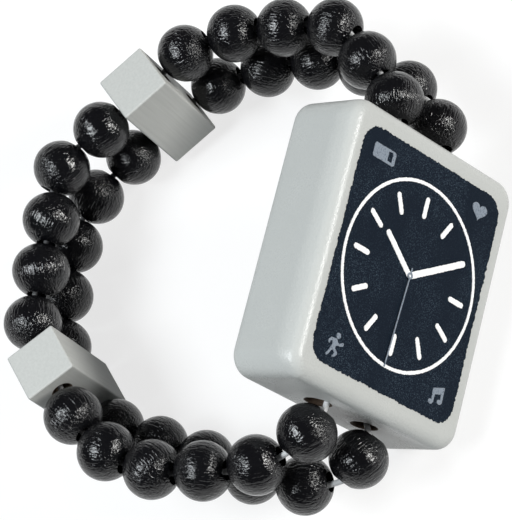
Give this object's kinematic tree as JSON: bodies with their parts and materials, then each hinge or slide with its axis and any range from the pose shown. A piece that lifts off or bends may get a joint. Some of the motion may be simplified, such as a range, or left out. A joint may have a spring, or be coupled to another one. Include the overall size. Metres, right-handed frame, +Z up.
{
  "type": "toy watch",
  "caption": "Wooden toy watch lying on its side: a block case with a printed dial on a stretchy band of round beads and square spacers",
  "frame": {"origin": "centre of the bounding box's bottom face, on the surface the watch lies on", "axes": "the watch lies on its 3 o'clock side: +X is the side that the dial faces (its face leans back, towards +Z), +Y runs from the case's 6 o'clock end to its 12 o'clock end, +Z up"},
  "size_m": [0.0658, 0.072, 0.0336],
  "materials": {
    "case_paint": "light grey satin paint",
    "dial_ink": "printed ink, near-black navy",
    "white_ink": "printed ink, white",
    "grey_ink": "printed ink, pale grey",
    "bead_paint": "black satin paint over turned wood",
    "spacer_paint": "light grey matte paint, grain showing",
    "elastic": "round elastic, pale grey"
  },
  "bodies": {
    "case": {"case": "case_paint", "dial_panel": "dial_ink", "dial_ring": "white_ink", "hour_marks": "white_ink", "hour_hand": "white_ink", "minute_hand": "white_ink", "second_hand": "grey_ink"},
    "elastic": {"elastic_top": "elastic", "elastic_base": "elastic"},
    "band_back": {"spacer_six": "spacer_paint", "spacer_twelve": "spacer_paint"},
    "bead_top_1": {"bead_top_1": "bead_paint"},
    "bead_top_2": {"bead_top_2": "bead_paint"},
    "bead_top_3": {"bead_top_3": "bead_paint"},
    "bead_top_4": {"bead_top_4": "bead_paint"},
    "bead_top_5": {"bead_top_5": "bead_paint"},
    "bead_top_6": {"bead_top_6": "bead_paint"},
    "bead_top_7": {"bead_top_7": "bead_paint"},
    "bead_top_8": {"bead_top_8": "bead_paint"},
    "bead_top_9": {"bead_top_9": "bead_paint"},
    "bead_top_10": {"bead_top_10": "bead_paint"},
    "bead_top_11": {"bead_top_11": "bead_paint"},
    "bead_top_12": {"bead_top_12": "bead_paint"},
    "bead_top_13": {"bead_top_13": "bead_paint"},
    "bead_top_14": {"bead_top_14": "bead_paint"},
    "bead_top_15": {"bead_top_15": "bead_paint"},
    "bead_top_16": {"bead_top_16": "bead_paint"},
    "bead_top_17": {"bead_top_17": "bead_paint"},
    "bead_base_1": {"bead_base_1": "bead_paint"},
    "bead_base_2": {"bead_base_2": "bead_paint"},
    "bead_base_3": {"bead_base_3": "bead_paint"},
    "bead_base_4": {"bead_base_4": "bead_paint"},
    "bead_base_5": {"bead_base_5": "bead_paint"},
    "bead_base_6": {"bead_base_6": "bead_paint"},
    "bead_base_7": {"bead_base_7": "bead_paint"},
    "bead_base_8": {"bead_base_8": "bead_paint"},
    "bead_base_9": {"bead_base_9": "bead_paint"},
    "bead_base_10": {"bead_base_10": "bead_paint"},
    "bead_base_11": {"bead_base_11": "bead_paint"},
    "bead_base_12": {"bead_base_12": "bead_paint"},
    "bead_base_13": {"bead_base_13": "bead_paint"},
    "bead_base_14": {"bead_base_14": "bead_paint"},
    "bead_base_15": {"bead_base_15": "bead_paint"},
    "bead_base_16": {"bead_base_16": "bead_paint"},
    "bead_base_17": {"bead_base_17": "bead_paint"}
  },
  "joints": [
    {"name": "band_tilt", "type": "hinge", "parent": "case", "child": "elastic", "pos_m": [0.02081, -0.00136, 0.01676], "axis": [0, 1, 0], "range_deg": [-60, 22], "deforming": ["elastic_top", "elastic_base"]},
    {"name": "band_stretch", "type": "slide", "parent": "elastic", "child": "band_back", "axis": [-1, 0, 0], "range_m": [0, 0.015], "stiffness_N_per_m": 200, "deforming": ["elastic_top", "elastic_base"]},
    {"name": "bead_top_1_spin", "type": "hinge", "parent": "elastic", "child": "bead_top_1", "pos_m": [0.01849, -0.02471, 0.0213], "axis": [-0.4532, -0.8907, -0.035], "continuous": true},
    {"name": "bead_top_2_spin", "type": "hinge", "parent": "elastic", "child": "bead_top_2", "pos_m": [0.01244, -0.02963, 0.01992], "axis": [-0.8836, -0.4309, -0.1833], "continuous": true},
    {"name": "bead_top_3_spin", "type": "hinge", "parent": "elastic", "child": "bead_top_3", "pos_m": [0.00502, -0.03132, 0.0185], "axis": [-0.9712, -0.1579, -0.1784], "continuous": true},
    {"name": "bead_top_4_spin", "type": "hinge", "parent": "band_back", "child": "bead_top_4", "pos_m": [-0.00243, -0.03205, 0.01719], "axis": [-0.9857, 0.0533, -0.1599], "continuous": true},
    {"name": "bead_top_5_spin", "type": "hinge", "parent": "band_back", "child": "bead_top_5", "pos_m": [-0.00984, -0.03051, 0.01609], "axis": [-0.9154, 0.3797, -0.1338], "continuous": true},
    {"name": "bead_top_6_spin", "type": "hinge", "parent": "band_back", "child": "bead_top_6", "pos_m": [-0.01624, -0.02631, 0.01517], "axis": [-0.7394, 0.6623, -0.1213], "continuous": true},
    {"name": "bead_top_7_spin", "type": "hinge", "parent": "band_back", "child": "bead_top_7", "pos_m": [-0.02649, -0.01414, 0.01337], "axis": [-0.3518, 0.934, -0.0626], "continuous": true},
    {"name": "bead_top_8_spin", "type": "hinge", "parent": "band_back", "child": "bead_top_8", "pos_m": [-0.02759, -0.00652, 0.01315], "axis": [-0.1177, 0.9928, -0.0223], "continuous": true},
    {"name": "bead_top_9_spin", "type": "hinge", "parent": "band_back", "child": "bead_top_9", "pos_m": [-0.02829, 0.00101, 0.01303], "axis": [-0.0882, 0.996, -0.0134], "continuous": true},
    {"name": "bead_top_10_spin", "type": "hinge", "parent": "band_back", "child": "bead_top_10", "pos_m": [-0.02893, 0.00869, 0.01295], "axis": [0.2718, 0.9611, 0.0485], "continuous": true},
    {"name": "bead_top_11_spin", "type": "hinge", "parent": "band_back", "child": "bead_top_11", "pos_m": [-0.02439, 0.01484, 0.01373], "axis": [0.6076, 0.7874, 0.1042], "continuous": true},
    {"name": "bead_top_12_spin", "type": "hinge", "parent": "band_back", "child": "bead_top_12", "pos_m": [-0.01447, 0.02709, 0.01537], "axis": [0.7643, 0.633, 0.1231], "continuous": true},
    {"name": "bead_top_13_spin", "type": "hinge", "parent": "band_back", "child": "bead_top_13", "pos_m": [-0.00763, 0.0304, 0.01651], "axis": [0.9407, 0.299, 0.1603], "continuous": true},
    {"name": "bead_top_14_spin", "type": "hinge", "parent": "band_back", "child": "bead_top_14", "pos_m": [-0.00024, 0.03162, 0.01779], "axis": [0.9804, 0.1083, 0.1643], "continuous": true},
    {"name": "bead_top_15_spin", "type": "hinge", "parent": "elastic", "child": "bead_top_15", "pos_m": [0.00735, 0.03205, 0.01902], "axis": [0.9448, -0.2903, 0.1519], "continuous": true},
    {"name": "bead_top_16_spin", "type": "hinge", "parent": "elastic", "child": "bead_top_16", "pos_m": [0.01335, 0.02748, 0.01998], "axis": [0.7442, -0.6576, 0.1172], "continuous": true},
    {"name": "bead_top_17_spin", "type": "hinge", "parent": "elastic", "child": "bead_top_17", "pos_m": [0.01874, 0.02198, 0.02081], "axis": [0.3762, -0.9247, 0.0582], "continuous": true},
    {"name": "bead_base_1_spin", "type": "hinge", "parent": "elastic", "child": "bead_base_1", "pos_m": [0.0231, -0.02473, 0.01222], "axis": [-0.4404, -0.8901, -0.1174], "continuous": true},
    {"name": "bead_base_2_spin", "type": "hinge", "parent": "elastic", "child": "bead_base_2", "pos_m": [0.01656, -0.02921, 0.01147], "axis": [-0.9554, -0.2668, -0.1267], "continuous": true},
    {"name": "bead_base_3_spin", "type": "hinge", "parent": "elastic", "child": "bead_base_3", "pos_m": [0.00887, -0.02876, 0.01033], "axis": [-0.983, 0.1016, -0.1527], "continuous": true},
    {"name": "bead_base_4_spin", "type": "hinge", "parent": "band_back", "child": "bead_base_4", "pos_m": [0.0014, -0.02765, 0.00911], "axis": [-0.9737, 0.1482, -0.1727], "continuous": true},
    {"name": "bead_base_5_spin", "type": "hinge", "parent": "band_back", "child": "bead_base_5", "pos_m": [-0.00608, -0.02648, 0.00768], "axis": [-0.966, 0.1824, -0.1831], "continuous": true},
    {"name": "bead_base_6_spin", "type": "hinge", "parent": "band_back", "child": "bead_base_6", "pos_m": [-0.01355, -0.02482, 0.00628], "axis": [-0.9354, 0.3151, -0.1604], "continuous": true},
    {"name": "bead_base_7_spin", "type": "hinge", "parent": "band_back", "child": "bead_base_7", "pos_m": [-0.02531, -0.01439, 0.00435], "axis": [-0.4465, 0.8919, -0.0724], "continuous": true},
    {"name": "bead_base_8_spin", "type": "hinge", "parent": "band_back", "child": "bead_base_8", "pos_m": [-0.02725, -0.00694, 0.00406], "axis": [-0.1747, 0.9842, -0.0271], "continuous": true},
    {"name": "bead_base_9_spin", "type": "hinge", "parent": "band_back", "child": "bead_base_9", "pos_m": [-0.02797, 0.00058, 0.00394], "axis": [0.0324, 0.9995, 0.004], "continuous": true},
    {"name": "bead_base_10_spin", "type": "hinge", "parent": "band_back", "child": "bead_base_10", "pos_m": [-0.02673, 0.0082, 0.00413], "axis": [0.3611, 0.9307, 0.0585], "continuous": true},
    {"name": "bead_base_11_spin", "type": "hinge", "parent": "band_back", "child": "bead_base_11", "pos_m": [-0.02255, 0.01459, 0.00482], "axis": [0.5452, 0.8334, 0.0906], "continuous": true},
    {"name": "bead_base_12_spin", "type": "hinge", "parent": "band_back", "child": "bead_base_12", "pos_m": [-0.01208, 0.02624, 0.00663], "axis": [0.8559, 0.4947, 0.1506], "continuous": true},
    {"name": "bead_base_13_spin", "type": "hinge", "parent": "band_back", "child": "bead_base_13", "pos_m": [-0.00502, 0.02928, 0.00784], "axis": [0.9413, 0.2985, 0.1578], "continuous": true},
    {"name": "bead_base_14_spin", "type": "hinge", "parent": "band_back", "child": "bead_base_14", "pos_m": [0.00241, 0.03085, 0.00906], "axis": [0.9835, 0.0659, 0.1683], "continuous": true},
    {"name": "bead_base_15_spin", "type": "hinge", "parent": "elastic", "child": "bead_base_15", "pos_m": [0.01003, 0.03027, 0.01041], "axis": [0.9587, -0.2285, 0.1694], "continuous": true},
    {"name": "bead_base_16_spin", "type": "hinge", "parent": "elastic", "child": "bead_base_16", "pos_m": [0.01716, 0.02732, 0.01166], "axis": [0.8314, -0.5355, 0.1485], "continuous": true},
    {"name": "bead_base_17_spin", "type": "hinge", "parent": "elastic", "child": "bead_base_17", "pos_m": [0.02284, 0.02201, 0.0127], "axis": [0.3985, -0.9143, 0.0726], "continuous": true}
  ]
}
